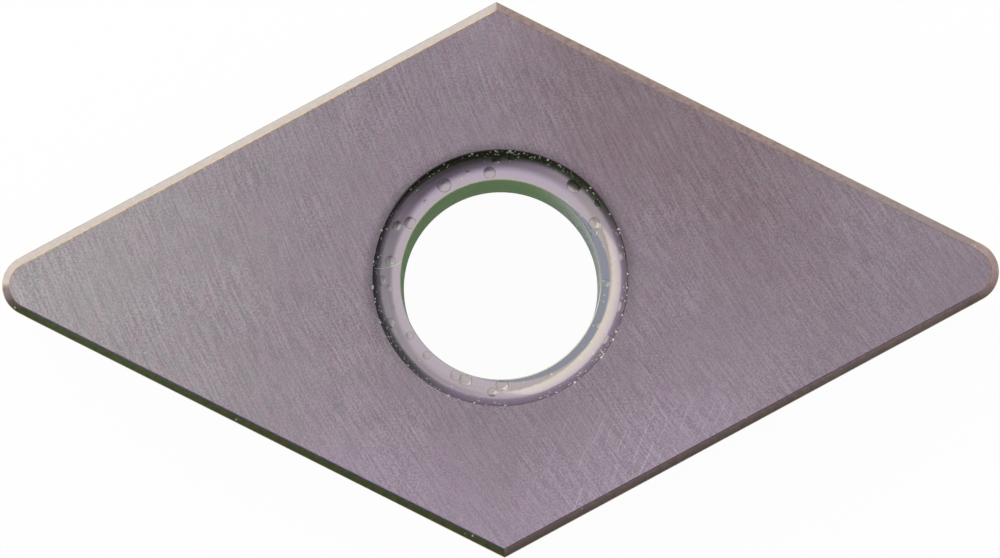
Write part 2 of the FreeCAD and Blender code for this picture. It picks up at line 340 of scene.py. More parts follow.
# The middle of the wheel that left most strokes on the face. In the materials all lengths and
# places are in millimetres, and a ramp's two levels come after its start and its end.
MAIN_WHEEL = (38, 21)

# A chip's bare ceramic and a pit's inner tint start at the first nearness and are full at the
# second, where 1 is the bowl's edge and 2 its middle.
CHIP_INSIDE = (1.0, 1.4)
PIT_INSIDE = (0.98, 1.15)

# How much the coating reflects like a metal.
COATED = 0.95


def section(add, size):
    """The upper half of the section as a curve, from the bore's wall over to the flank.

    Its Z is the height above the mid plane. Its X is the distance from the bore's axis as far
    as the face's inner strip, and from there on the distance inside the outline.
    """
    face = add(TIMES, [size["Thickness"], 0.5])
    bore = add(TIMES, [size["Bore Diameter"], 0.5])
    shelf = add(MINUS, [face, size["Mouth Depth"]])
    rim = add(PLUS, [bore, size["Mouth Width"]])
    throat = add(MINUS, [rim, size["Rim Break"]])
    lip = add(MINUS, [face, size["Rim Break"]])
    drop = add(TIMES, [size["Land Width"], add(TANGENT, [size["Land Angle"]])])
    flank_top = add(MINUS, [face, drop])
    flank_strip = add(MINUS, [flank_top, size["Margin"]])
    inner_strip = add(TIMES_PLUS, [size["Margin"], 2.0, rim])
    outer_strip = add(PLUS, [size["Land Width"], size["Margin"]])

    # The cove's arc meets both ends of its chord at the same angle, so its tangents there cross
    # outside the middle of the chord. Rounding that corner gives the arc.
    wall_top = add(POINT, [bore, 0.0, shelf])
    rim_foot = add(POINT, [throat, 0.0, lip])
    chord = add(LESS_POINT, [rim_foot, wall_top])
    half_chord = add(TIMES, [add(LENGTH, [chord], out="Value"), 0.5])
    bend = add(ARCSINE, [add(OVER, [half_chord, size["Cove Radius"]])])
    reach = add(TIMES, [half_chord, add(TANGENT, [bend])])
    outwards = add(UNIT, [add(CROSS, [chord, (0, -1, 0)])])
    offset = add(STRETCH, {"Vector": outwards, "Scale": reach})
    halves = {"Factor_Float": 0.5, "A_Vector": wall_top, "B_Vector": rim_foot}
    cove = add(PLUS_POINT, [add(MIX_POINTS, halves, out=1), offset])

    # Each corner: its point, its rounding, the steps in that, and the cuts in what follows it.
    corners = [
        (add(POINT, [bore, 0.0, 0.0]), 0.0, 0, 0),
        (wall_top, size["Bore Edge"], 4, 0),
        (cove, size["Cove Radius"], 30, 0),
        (rim_foot, 0.0, 0, 2),
        (add(POINT, [rim, 0.0, face]), 0.0, 0, 3),
        (add(POINT, [inner_strip, 0.0, face]), 0.0, 0, 0),
        (add(POINT, [outer_strip, 0.0, face]), 0.0, 0, 0),
        (add(POINT, [size["Land Width"], 0.0, face]), size["Inner Hone"], 4, 0),
        (add(POINT, [0.0, 0.0, flank_top]), size["Outer Hone"], 5, 0),
        (add(POINT, [0.0, 0.0, flank_strip]), 0.0, 0, 0),
        (add(POINT, [0.0, 0.0, 0.0]), 0.0, 0, 0),
    ]
    index = add("GeometryNodeInputIndex")
    kept_place = add(OWN_NUMBER, {"Name": PLACE})
    kinds = (("VECTOR", index), ("FLOAT", kept_place), ("INT", kept_place), ("INT", kept_place))
    by_corner = []
    for (kind, chooser), values in zip(kinds, zip(*corners)):
        switch = add(("GeometryNodeIndexSwitch", {"data_type": kind})).node
        while len(switch.index_switch_items) < len(corners):
            switch.index_switch_items.new()
        feed(switch, [chooser, *values])
        by_corner.append(switch.outputs[0])
    points, roundings, steps, cuts = by_corner

    line = add("GeometryNodeCurvePrimitiveLine")
    chain = add("GeometryNodeResampleCurve", {"Curve": line, "Count": len(corners)})
    chain = add("GeometryNodeSetPosition", {"Geometry": chain, "Position": points})
    chain = add(KEEP_NUMBER, {"Geometry": chain, "Name": PLACE, "Value": index})
    rounding = {"Curve": chain, "Count": steps, "Radius": roundings, "Limit Radius": True}
    chain = add(("GeometryNodeFilletCurve", {"mode": "POLY"}), rounding)
    return add("GeometryNodeSubdivideCurve", {"Curve": chain, "Cuts": cuts})


def corner_point(add, radius, inset, circle, slope, turn):
    """A point of a rounded corner that is moved inside: its place ahead and its place aside.

    Where the inset passes the corner's radius, the corner is sharp from there on.
    """
    rounding = add(LARGER, [radius, inset])
    inner_radius = add(MINUS, [rounding, inset])
    centre = add(OVER, [add(MINUS, [circle, rounding]), slope])
    ahead = add(TIMES_PLUS, [add(COSINE, [turn]), inner_radius, centre])
    return ahead, add(TIMES, [add(SINE, [turn]), inner_radius])


def plan_point(add, size, column, inset):
    """A point of the outline's first quarter, moved inside by the inset.

    Column 0 is the middle of the obtuse corner, on Y, and the last one is the nose's, on X.
    """
    half_corner = add(TIMES, [size["Corner Angle"], 0.5])
    circle = add(TIMES, [size["Inscribed Circle"], 0.5])
    side_turn = add(TIMES, [half_corner, add(SHARE, [column, float(SIDE_STEPS)])])
    side_slope = add(COSINE, [half_corner])
    side_y, side_x = corner_point(add, size["Side Radius"], inset, circle, side_slope, side_turn)

    from_axis = add(MINUS, [float(COLUMNS), column])
    nose_share = add(SHARE, [from_axis, float(NOSE_STEPS)])
    nose_turn = add(TIMES, [add(MINUS, [math.pi / 2, half_corner]), nose_share])
    nose_slope = add(SINE, [half_corner])
    nose_x, nose_y = corner_point(add, size["Nose Radius"], inset, circle, nose_slope, nose_turn)

    from_side = add(MINUS, [column, float(SIDE_STEPS)])
    along_flank = add(SHARE, [from_side, float(FLANK_STEPS)])
    side = add(POINT, [side_x, side_y, 0.0])
    nose = add(POINT, [nose_x, nose_y, 0.0])
    return add(MIX_POINTS, {"Factor_Float": along_flank, "A_Vector": side, "B_Vector": nose}, out=1)


def sound_body(add, size):
    """The unworn body: its section led round a quarter of the plan and mirrored three times."""
    chain = section(add, size)
    rows = add(CURVE_COUNTS, {"Geometry": chain}, out="Point Count")
    body = add("GeometryNodeMeshGrid", {"Vertices X": COLUMNS + 1, "Vertices Y": rows})
    index = add("GeometryNodeInputIndex")
    column = add(("FunctionNodeIntegerMath", {"operation": "DIVIDE_FLOOR"}), [index, rows])
    row = add(("FunctionNodeIntegerMath", {"operation": "FLOORED_MODULO"}), [index, rows])
    position = add("GeometryNodeInputPosition")
    here = add(POINT_AT, {"Geometry": chain, "Value": position, "Index": row})
    kept_place = add(OWN_NUMBER, {"Name": PLACE})
    place = add(NUMBER_AT, {"Geometry": chain, "Value": kept_place, "Index": row})
    across = add(APART, [here], out="X")
    height = add(APART, [here], out="Z")

    # What belongs to the bore is turned about its axis, and the rest follows the outline.
    turn = add(TIMES, [column, math.pi / 2 / COLUMNS])
    bearing = add(POINT, [add(SINE, [turn]), add(COSINE, [turn]), 0.0])
    turned = add(STRETCH, {"Vector": bearing, "Scale": across})
    outlined = plan_point(add, size, column, across)
    beyond = add(ABOVE, [place, FACE_INNER + 0.5])
    level = {"Factor_Float": beyond, "A_Vector": turned, "B_Vector": outlined}
    rise = add(POINT, [0.0, 0.0, height])
    point = add(PLUS_POINT, [add(MIX_POINTS, level, out=1), rise])
    body = add(KEEP_NUMBER, {"Geometry": body, "Name": PLACE, "Value": place})
    body = add("GeometryNodeSetPosition", {"Geometry": body, "Position": point})
    for mirror in ((-1, 1, 1), (1, -1, 1), (1, 1, -1)):
        twin = add("GeometryNodeTransform", {"Geometry": body, "Scale": mirror})
        twin = add("GeometryNodeFlipFaces", [twin])
        body = add("GeometryNodeJoinGeometry", [[body, twin]])
        body = add("GeometryNodeMergeByDistance", {"Geometry": body, "Distance": 1e-4 * MM})
    half = add(POINT, [0.0, 0.0, add(TIMES, [size["Thickness"], 0.5])])
    return add("GeometryNodeTransform", {"Geometry": body, "Translation": half})


def random_number(add, size, low, high, salt):
    """A number that is different for each point and the same in every run."""
    seed = add(PLUS, [size["Seed"], float(salt)])
    draw = {"Min_001": low, "Max_001": high, "Seed": seed}
    return add(("FunctionNodeRandomValue", {"data_type": "FLOAT"}), draw, out=1)


def rim_chips(add, size):
    """A point above each chip along the mouth's rim, with the chip's radius."""
    rim = add(PLUS, [add(TIMES, [size["Bore Diameter"], 0.5]), size["Mouth Width"]])

    # The chips crowd at three places round the rim.
    even = random_number(add, size, 0.0, 2 * math.pi, 0)
    crowding = add(SINE, [add(TIMES_PLUS, [even, 3.0, math.radians(-72)])])
    bearing = add(TIMES_PLUS, [crowding, 0.27, even])
    distance = add(PLUS, [rim, random_number(add, size, -0.12 * MM, 0.0, 1)])
    above = add(TIMES, [size["Thickness"], 2.0])
    x = add(TIMES, [add(COSINE, [bearing]), distance])
    y = add(TIMES, [add(SINE, [bearing]), distance])
    spot = add(POINT, [x, y, above])
    chips = add("GeometryNodePoints", {"Count": size["Chips"], "Position": spot})
    growth = add(POWER, [random_number(add, size, 0.55, 1.0, 2), 3.0])
    radius = add(TIMES, [add(TIMES, [growth, 0.5]), size["Chip Width"]])
    return add(KEEP_NUMBER, {"Geometry": chips, "Name": REACH, "Value": radius})


def on_both_sides(add, size, spots, body):
    """The points above the body laid on its upper side, and the same ones turned over below."""
    lift = add(POINT, [0.0, 0.0, size["Thickness"]])
    over = {"Geometry": spots, "Translation": lift, "Rotation": Euler((math.pi, 0, 0))}
    lower = add("GeometryNodeTransform", over)
    both = add("GeometryNodeJoinGeometry", [[spots, lower]])
    position = add("GeometryNodeInputPosition")
    from_above = add(ABOVE, [add(APART, [position], out="Z"), 0.0])
    down = add(TIMES_PLUS, [from_above, -2.0, 1.0])
    way = add(POINT, [0.0, 0.0, down])
    ray = {"Target Geometry": body, "Source Position": position, "Ray Direction": way}
    laid = add("GeometryNodeRaycast", ray, out="Hit Position")
    return add("GeometryNodeSetPosition", {"Geometry": both, "Position": laid})


def sink_bowls(add, body, spots, share, name):
    """The body with a bowl at each of the points, as deep as that share of its width.

    The named attribute is 1 at a bowl's edge and 2 at its middle.
    """
    position = add("GeometryNodeInputPosition")
    nearest = add(("GeometryNodeSampleNearest", {"domain": "POINT"}), {"Geometry": spots})
    centre = add(POINT_AT, {"Geometry": spots, "Value": position, "Index": nearest})
    own_reach = add(OWN_NUMBER, {"Name": REACH})
    reach = add(NUMBER_AT, {"Geometry": spots, "Value": own_reach, "Index": nearest})
    away = add(OVER, [add(DISTANCE, [position, centre], out="Value"), reach])
    hollow = add(LARGER, [add(MINUS, [1.0, add(POWER, [away, 2.0])]), 0.0])
    depth = add(TIMES, [add(TIMES, [reach, 2.0]), share])
    sinking = add(TIMES, [add(TIMES, [depth, hollow]), -1.0])
    normal = add("GeometryNodeInputNormal")
    offset = add(STRETCH, {"Vector": normal, "Scale": sinking})
    place = add(OWN_NUMBER, {"Name": PLACE})
    in_mouth = add(BEYOND, [place, WALL_TOP + 0.5])
    before_strip = add(BEYOND, [FACE_INNER - 0.3, place])
    worn = add(("FunctionNodeBooleanMath", {"operation": "AND"}), [in_mouth, before_strip])
    nearness = add(LARGER, [add(MINUS, [2.0, away]), 0.0])
    kept = {"Geometry": body, "Selection": worn, "Name": name, "Value": nearness}
    sunk = {"Geometry": add(KEEP_NUMBER, kept), "Selection": worn, "Offset": offset}
    return add("GeometryNodeSetPosition", sunk)


def insert_tree(sizes, finishes):
    """The tree that makes the whole insert from its sizes and its pits, with its finishes."""
    tree = bpy.data.node_groups.new("Turning Insert", "GeometryNodeTree")
    tree.interface.new_socket("Pits", in_out="INPUT", socket_type="NodeSocketGeometry")
    for item in own_properties(sizes):
        kind = "NodeSocketInt" if item.type == "INT" else "NodeSocketFloat"
        tree.interface.new_socket(item.name, in_out="INPUT", socket_type=kind)
    tree.interface.new_socket("Insert", in_out="OUTPUT", socket_type="NodeSocketGeometry")
    add = partial(node, tree)
    group_input = tree.nodes.new("NodeGroupInput")
    size = {socket.name: socket for socket in group_input.outputs}

    body = sound_body(add, size)
    pits = add("GeometryNodeMeshToPoints", {"Mesh": size["Pits"]})
    pits = on_both_sides(add, size, pits, body)
    chips = on_both_sides(add, size, rim_chips(add, size), body)
    body = sink_bowls(add, body, pits, size["Pit Depth"], PITTED)
    body = sink_bowls(add, body, chips, size["Chip Depth"], BARED)
    body = add(("GeometryNodeSetShadeSmooth", {"domain": "FACE"}), {"Geometry": body})
    sharp = add(BEYOND, [add("GeometryNodeInputMeshEdgeAngle"), SHARP_FOLD])
    plain = {"Geometry": body, "Selection": sharp, "Shade Smooth": False}
    body = add(("GeometryNodeSetShadeSmooth", {"domain": "EDGE"}), plain)
    body = add("GeometryNodeRealizeInstances", {"Geometry": body})
    place = add(OWN_NUMBER, {"Name": PLACE})
    for start, finish in finishes:
        beyond = add(BEYOND, [place, start])
        coat = {"Geometry": body, "Selection": beyond, "Material": finish}
        body = add("GeometryNodeSetMaterial", coat)
    add("NodeGroupOutput", [body])
    return tree


def start_material(name):
    """A new material, what adds nodes to it, its shader and its Object coordinates in millimetres."""
    material = bpy.data.materials.new(name)
    material.use_nodes = True
    add = partial(node, material.node_tree)
    position = add("ShaderNodeTexCoord", out="Object")
    point = add(STRETCH, {"Vector": position, "Scale": 1 / MM})
    return material, add, material.node_tree.nodes["Principled BSDF"], point


def plan_of(add, point):
    """A point's X and Y."""
    return [add(APART, [point], out=axis) for axis in "XY"]


def plan_length(add, point):
    """A point's distance from the origin in the plan."""
    return add(LENGTH, [add(TIMES_POINT, [point, (1, 1, 0)])], out="Value")


def product(add, result, *others):
    """The product of numbers."""
    for other in others:
        result = add(TIMES, [result, other])
    return result


def overlap(add, *ramps):
    """The product of smooth ramps.

    Each has a value, where it starts and ends, and its levels there, 0 and 1 where none are given.
    """
    return product(add, *[add(RAMP, ramp) for ramp in ramps])


def lay(add, coat, *layers, blend=MIX_TINTS):
    """The coat with tints laid over it in turn, each after the share of it that shows."""
    for shown, tint_value in layers:
        mixed = {"Factor_Float": shown, "A_Color": coat, "B_Color": tint_value}
        coat = add(blend, mixed, out=2)
    return coat


def shaded(add, coat, light):
    """The coat made lighter or darker by a number."""
    return lay(add, coat, (1.0, add(POINT, [light, light, light])), blend=SHADE_TINT)


def dress(add, shader, coat, metallic, roughness, height, depth):
    """Gives the shader its coat and its gloss, and a relief of that depth in millimetres."""
    relief = {"Strength": 1.0, "Distance": depth * MM, "Height": height}
    bump = add("ShaderNodeBump", relief)
    gloss = {"Metallic": metallic, "Roughness": roughness}
    feed(shader, {"Base Color": coat, "Normal": bump, **gloss})


def by_side(add, point, colours, part):
    """The part's own tint on each of the four sides of the plan.

    They change at once at the obtuse corners and run into each other round the noses.
    """
    x, y = plan_of(add, point)
    right = add(RAMP, [x, -0.02, 0.02])
    turned = add(PLUS, [y, add(RAMP, [x, 0.0, 10.0, 0.0, 0.35])])
    back = add(RAMP, [turned, -0.4, 0.15])
    ends = []
    for end in ("front", "back"):
        left_tint, right_tint = (getattr(colours, f"{part}_{end}_{hand}") for hand in ("left", "right"))
        ends.append(lay(add, left_tint, (right, right_tint)))
    return lay(add, ends[0], (back, ends[1]))


def wheel_strokes(add, point, centre, spacing, stroke):
    """Fine strokes in arcs about a far centre, as the rim of a face wheel leaves them."""
    from_centre = add(LESS_POINT, [point, (*centre, 0.0)])
    x, y = plan_of(add, from_centre)
    across = add(TIMES, [plan_length(add, from_centre), 1 / spacing])
    along = add(TIMES, [add(ARCTAN2, [y, x]), math.hypot(*centre) / stroke])
    wavy = {"Vector": add(POINT, [across, along, 0.0]), "Scale": 1.0, "Detail": 2.0, "Roughness": 0.6}
    return add(FLAT_NOISE, wavy)


def specks(add, point, spacing, width, chosen):
    """Small round specks over the plan: 1 on a speck and 0 beside it, for that share of cells."""
    near = {"Vector": point, "Scale": 1 / spacing}
    distance = add(CELLS, near, out="Distance")
    chance = add(APART, [add(CELLS, near, out="Color")], out="X")
    spot = add(RAMP, [distance, 0.5 * width / spacing, 0.3 * width / spacing])
    return add(TIMES, [spot, add(ABOVE, [chance, 1 - chosen])])


def nicks(add, point):
    """The few places on the lands and their edges where a grain has broken out: 1 on them."""
    mark = 0.0
    ragged = add(NOISE, {"Vector": point, "Scale": 1 / 0.03, "Detail": 1.0})
    for x, y, width in NICKS:
        away = plan_length(add, add(LESS_POINT, [point, (x, y, 0.0)]))
        uneven = add(TIMES_PLUS, [ragged, width, away])
        mark = add(LARGER, [mark, add(RAMP, [uneven, width, 0.8 * width])])
    return mark


def own_mark(add, name):
    """A number that the insert's tree keeps at each point, such as the nearness of a pit."""
    return add(("ShaderNodeAttribute", {"attribute_name": name}), out="Fac")


def face_coat(add, point, colours):
    """The ground face's tints, which drift over it partly with the thickness of the coating and partly
    as painted light and shade: paler to the left and towards the front flanks, darker at the back
    right.
    """
    x, y = plan_of(add, point)
    cloud = add(NOISE, {"Vector": point, "Scale": 1 / 3, "Detail": 3.0})
    drift = add(TIMES_PLUS, [cloud, 4.0, x])
    right = add(RAMP, [drift, -12, 1])

    # Distances from the bore's axis towards the right back flank and towards the front flanks.
    along, aside = FLANK["axis"][:2]
    to_back = add(TIMES_PLUS, [drift, along, add(TIMES, [y, aside])])
    to_front = add(TIMES_PLUS, [add(UNSIGNED, [x]), along, add(TIMES, [y, -aside])])
    back_right = overlap(add, (to_back, 2, 6), (x, -1, 3), (x, 10, 6))
    front = overlap(add, (x, -7, -3), (x, 9, 4.5), (to_front, 3.2, 6.5, 0, 0.5))
    bands = wheel_strokes(add, point, MAIN_WHEEL, 0.13, 1.6)
    # Partly painted light and shade: paler to the left and in front, darker at the back right.
    coat = lay(
        add,
        colours.face_left,
        (right, colours.face_right),
        (back_right, colours.face_back_right),
        (front, colours.face_front),
        (add(RAMP, [bands, 0.3, 0.7, 0, 0.28]), colours.face_grey),
    )

    # Single grains of the coating are greener or pinker, most of all on the left.
    films = wheel_strokes(add, point, MAIN_WHEEL, 0.055, 0.6)
    hue = lay(add, colours.film_green, (add(RAMP, [films, 0.3, 0.7]), colours.film_pink))
    return lay(add, coat, (add(RAMP, [x, -8, -3, 0.85, 0.6]), hue), blend=SHADE_TINT)


def painted_face_shade(add, point):
    """Painted light and shade over the ground face in the large: darker towards the mouth's rim, most
    of all at the back, as if the face rolled off there though it stays flat, and a little lighter
    towards the back corner.
    """
    x, y = plan_of(add, point)
    distance = plan_length(add, point)
    not_front = add(TIMES_PLUS, [x, -0.2, y])
    # Painted shade: darker towards the rim except in front, and a dark ring by the rim at the back;
    # painted light towards the back corner.
    painted_rim_shade = overlap(add, (distance, 3.27, 3.6, 1, 0), (not_front, -2.6, 0.5, 0, 0.4))
    painted_back_rim_shade = overlap(add, (y, 1.2, 2.6, 0, 0.88), (distance, 3.345, 3.31))
    corner = add(MINUS, [y, add(UNSIGNED, [x])])
    return product(
        add,
        add(MINUS, [1.0, painted_rim_shade]),
        add(MINUS, [1.0, painted_back_rim_shade]),
        add(RAMP, [corner, 4, 6.5, 1, 1.09]),
    )


def ground_face(colours):
    """Mixed ceramic ground flat with a fine diamond wheel, under a thin hard coating.

    The coating reflects like a metal, and the wheel's strokes soften it to a satin sheen with
    fine light and dark lines. The grit's own strokes are a few micrometres apart, too fine to
    show, so they are drawn about ten times as coarse.
    """
    material, add, shader, point = start_material("coated ceramic, ground face")
    x, y = plan_of(add, point)
    main_pass = wheel_strokes(add, point, MAIN_WHEEL, 0.065, 0.9)
    cross_pass = wheel_strokes(add, point, (31.9, -8.5), 0.07, 0.7)
    hairlines = wheel_strokes(add, point, (34, 14), 0.042, 2.5)
    scratches = wheel_strokes(add, point, (31, -17), 0.05, 2.5)
    grain = add(NOISE, {"Vector": point, "Scale": 1 / 0.045, "Detail": 1.0})
    strokes = add(TIMES_PLUS, [cross_pass, 0.3, main_pass])
    texture = add(TIMES_PLUS, [grain, 1.4, strokes])
    light = add(RAMP, [texture, 0.92, 1.78, 0.83, 1.215])
    light = add(PLUS, [light, add(RAMP, [hairlines, 0.61, 0.75, 0, 0.2])])
    scratched = overlap(add, (y, -2.6, -3.6), (x, 0, 1.5), (scratches, 0.62, 0.72, 0, 0.3))
    light = add(PLUS, [light, scratched])
    patches = add(NOISE, {"Vector": point, "Scale": 1 / 2.2, "Detail": 2.0})
    contrast = overlap(add, (patches, 0.35, 0.65, 0.75, 1.25), (x, 8, 11, 1, 0.78))
    light = add(TIMES_PLUS, [add(MINUS, [light, 1.0]), contrast, 1.0])
    light = add(TIMES_PLUS, [specks(add, point, 0.5, 0.05, 0.3), 0.3, light])
    # Painted light and shade of the face in the large.
    light = product(add, light, painted_face_shade(add, point))
    coat = shaded(add, face_coat(add, point, colours), light)
    coat = lay(add, coat, (add(RAMP, [own_mark(add, BARED), *CHIP_INSIDE]), colours.bare))
    dress(add, shader, coat, COATED, 0.38, texture, 0.0011)
    return material


def ground_land(colours):
    """The same coated ceramic on the lands, ground finer, so they reflect more sharply.

    The coating is thinner there, which shows as brown blotches on the left front and right back
    sides. The left front land's dark green tint is painted shade. The lands in front are paler
    towards the noses. Their strokes too are drawn coarser.
    """
    material, add, shader, point = start_material("coated ceramic, ground land")
    x, y = plan_of(add, point)
    blotches = add(NOISE, {"Vector": point, "Scale": 1 / 0.14, "Detail": 3.0, "Roughness": 0.65})
    greyer = overlap(add, (x, 7, 10, 0, 0.75), (y, 0.6, 0.9))
    front_left = overlap(add, (y, 0.1, -0.4), (x, 3, -1), (x, -9, -7, 0.5, 1))
    back_right = overlap(add, (y, 0, 0.5), (x, -0.5, 0.5, 0, 0.8), (x, 8, 11, 1, 0.7))
    thin = add(PLUS, [front_left, back_right])
    blotched = add(TIMES, [thin, add(RAMP, [blotches, 0.42, 0.62, 0, 0.6])])
    at_nose = overlap(add, (y, 0.1, -0.1), (y, -0.65, -0.3), (x, -11, -12, 0, 0.85))
    coat = lay(
        add,
        by_side(add, point, colours, "land"),
        (greyer, colours.land_grey),
        (blotched, colours.blotch),
        (at_nose, colours.land_nose),
    )
    even = overlap(add, (y, 0, 0.5), (x, 0.5, -0.5, 0, 0.65))
    mottle = add(RAMP, [blotches, 0.3, 0.7, -0.14, 0.12])
    light = add(TIMES_PLUS, [mottle, add(MINUS, [1.0, even]), 1.0])
    along = add(UNSIGNED, [x])
    paler = overlap(add, (along, 6, 10, 0, 0.2), (along, 12.2, 11.7), (y, 0, -0.3))
    nose_light = add(RAMP, [x, 12.1, 12.5, 1, 1.35])
    light = product(add, light, add(PLUS, [paler, 1.0]), nose_light)
    light = add(TIMES_PLUS, [specks(add, point, 0.9, 0.07, 0.2), 1.2, light])
    coat = lay(add, shaded(add, coat, light), (nicks(add, point), colours.nick))
    dress(add, shader, coat, COATED, 0.27, wheel_strokes(add, point, (-20, -26), 0.05, 0.4), 0.0008)
    return material


def honed_edge(colours, part):
    """The rounding that honing leaves on an edge, where the coating is thinnest and turns gold."""
    material, add, shader, point = start_material(f"coated ceramic, honed {part} edge")
    along = add(UNSIGNED, [add(APART, [point], out="X")])
    at_nose = add(RAMP, [along, 12.0, 12.45, 0, 0.7])
    coat = lay(add, by_side(add, point, colours, part), (at_nose, getattr(colours, f"{part}_nose")))
    uneven = add(NOISE, {"Vector": point, "Scale": 1 / 0.15, "Detail": 2.0})
    coat = shaded(add, coat, add(RAMP, [uneven, 0.3, 0.7, 0.75, 1.15]))
    coat = lay(add, coat, (nicks(add, point), colours.nick))
    feed(shader, {"Base Color": coat, "Metallic": COATED, "Roughness": 0.3})
    return material


def ground_flank(colours):
    """The flanks, ground along their length, with the same coating, and with coarser strokes than
    the real ones, which wouldn't show."""
    material, add, shader, point = start_material("coated ceramic, ground flank")
    stretched = add(TIMES_POINT, [point, (1 / 0.7, 1 / 0.7, 1 / 0.04)])
    strokes = add(NOISE, {"Vector": stretched, "Scale": 1.0, "Detail": 2.0, "Roughness": 0.6})
    coat = shaded(add, colours.face_left, add(RAMP, [strokes, 0.3, 0.7, 0.9, 1.08]))
    dress(add, shader, coat, COATED, 0.36, strokes, 0.0015)
    return material


def mouth_layers(add, point, colours, across):
    """The mouth's tints, each with the share that shows, and how bare the front of it is.

    Across is 0 at the bore and 1 at the rim. The mouth is pale beside the bore and darker below its
    rim, and has a dark band below its rim, higher up at the back; both are painted shade where the
    steep cove reflects the dim front of the tent. In front the coating is thinner and lilac, and a tint
    where the key lamp's highlight falls colours that highlight, a painted highlight colour. On the left
    a fainter dark ring runs down, and on the right a darker bluish zone lies beside the bore; both are
    painted shade.
    """
    x, y = plan_of(add, point)
    cloud = add(NOISE, {"Vector": point, "Scale": 1 / 0.8, "Detail": 3.0})
    uneven = add(TIMES_PLUS, [cloud, 0.12, across])
    # Painted shade: the mouth darker towards its rim, paler beside the bore.
    outer = add(RAMP, [uneven, 0.35, 0.95])
    to_front = add(TIMES_PLUS, [x, -0.9, y])
    front = add(RAMP, [to_front, 0.6, -2.2])
    # A tint where the key lamp's highlight falls on the front right, which colours that highlight: a
    # painted highlight colour.
    cream = product(add, overlap(add, (across, 0.62, 0.4), (x, -0.5, 1.5)), front)
    lilac = product(add, front, add(RAMP, [uneven, 0.62, 0.95]))
    to_back = add(TIMES_PLUS, [x, -0.15, y])
    behind = overlap(add, (to_back, 1.2, 2.6), (across, 0.1, 0.35))

    # Painted shade: a fainter dark ring down the left of the mouth.
    middle = add(RAMP, [y, 0, -2.6, 0.39, 0.6])
    off_middle = add(UNSIGNED, [add(MINUS, [across, middle])])
    from_gap = add(UNSIGNED, [add(PLUS, [y, 1.4])])
    ring = overlap(add, (off_middle, 0.13, 0.03, 0, 0.25), (from_gap, 0.3, 1.1, 0.4, 1))
    ring = product(add, ring, overlap(add, (x, 0.3, -1.2), (y, 2.6, 1.2)))

    # Painted shade: the dark band below the rim, where the steep cove reflects the dim front of the
    # tent; violet at the sides and front, darkest at the back.
    around = add(TIMES_PLUS, [x, -0.7, y])
    higher = add(RAMP, [to_back, 2.4, 3.1, 0, 0.1])
    lower = add(RAMP, [around, -3.2, 0, -0.05, 0])
    moved = add(PLUS, [uneven, add(PLUS, [higher, lower])])
    band = overlap(add, (moved, 0.70, 1.02), (around, -3.2, 3.2, 0.48, 1))
    painted_band_shade_tint = lay(add, colours.mouth_violet, (add(RAMP, [y, 1.0, 2.6]), colours.mouth_edge))

    # Painted shade: a darker, bluish zone beside the bore on the right.
    turn = add(ARCTAN2, [y, x])
    after_front = (turn, math.radians(-125), math.radians(-30), 0, 0.33)
    before_back = (turn, math.radians(60), math.radians(5))
    reach = overlap(add, after_front, before_back)
    bluish_shade = add(RAMP, [add(MINUS, [reach, across]), -0.03, 0.03])
    layers = [
        (outer, colours.mouth_outer),
        (cream, colours.mouth_cream),
        (lilac, colours.mouth_front),
        (behind, colours.mouth_back),
        (ring, colours.mouth_violet),
        (band, painted_band_shade_tint),
        (bluish_shade, colours.mouth_blue),
    ]
    return layers, product(add, front, outer)


def pit_layers(add, point, colours, across):
    """The tints of the mouth's pits, which are pale inside, dark green inside within the painted shade
    of the band at the back, and ringed by painted shade at their edges.
    """
    pit = own_mark(add, PITTED)
    y = add(APART, [point], out="Y")
    inside = add(RAMP, [pit, *PIT_INSIDE, 0, 0.2])
    # Painted shade: pits in the dark band at the back are dark green inside.
    deep = overlap(add, (across, 0.5, 0.7), (y, 1.0, 2.0), (pit, *PIT_INSIDE, 0, 0.9))
    # Painted shade round each pit's edge.
    lip = overlap(add, (pit, 0.94, 1.02), (pit, 1.14, 1.04, 0, 0.46))
    return [(inside, colours.pit), (deep, colours.pit_back), (lip, colours.pit_edge)]


def glaze_marks(add, point):
    """Specks of fired glaze, and a fine pale hair of it down the left of the mouth in an arc."""
    x, y = plan_of(add, point)
    radius = plan_length(add, add(LESS_POINT, [point, (-3.225, 1.66, 0.0)]))
    off_arc = add(POWER, [add(MINUS, [radius, 1.35]), 2.0])
    hair = overlap(add, (off_arc, 0.016**2, 0.006**2, 0, 0.85), (y, 0.85, 0.7), (x, -3.24, -3.2))
    dots = add(TIMES, [specks(add, point, 0.3, 0.05, 0.35), 0.8])
    return add(LARGER, [hair, dots])


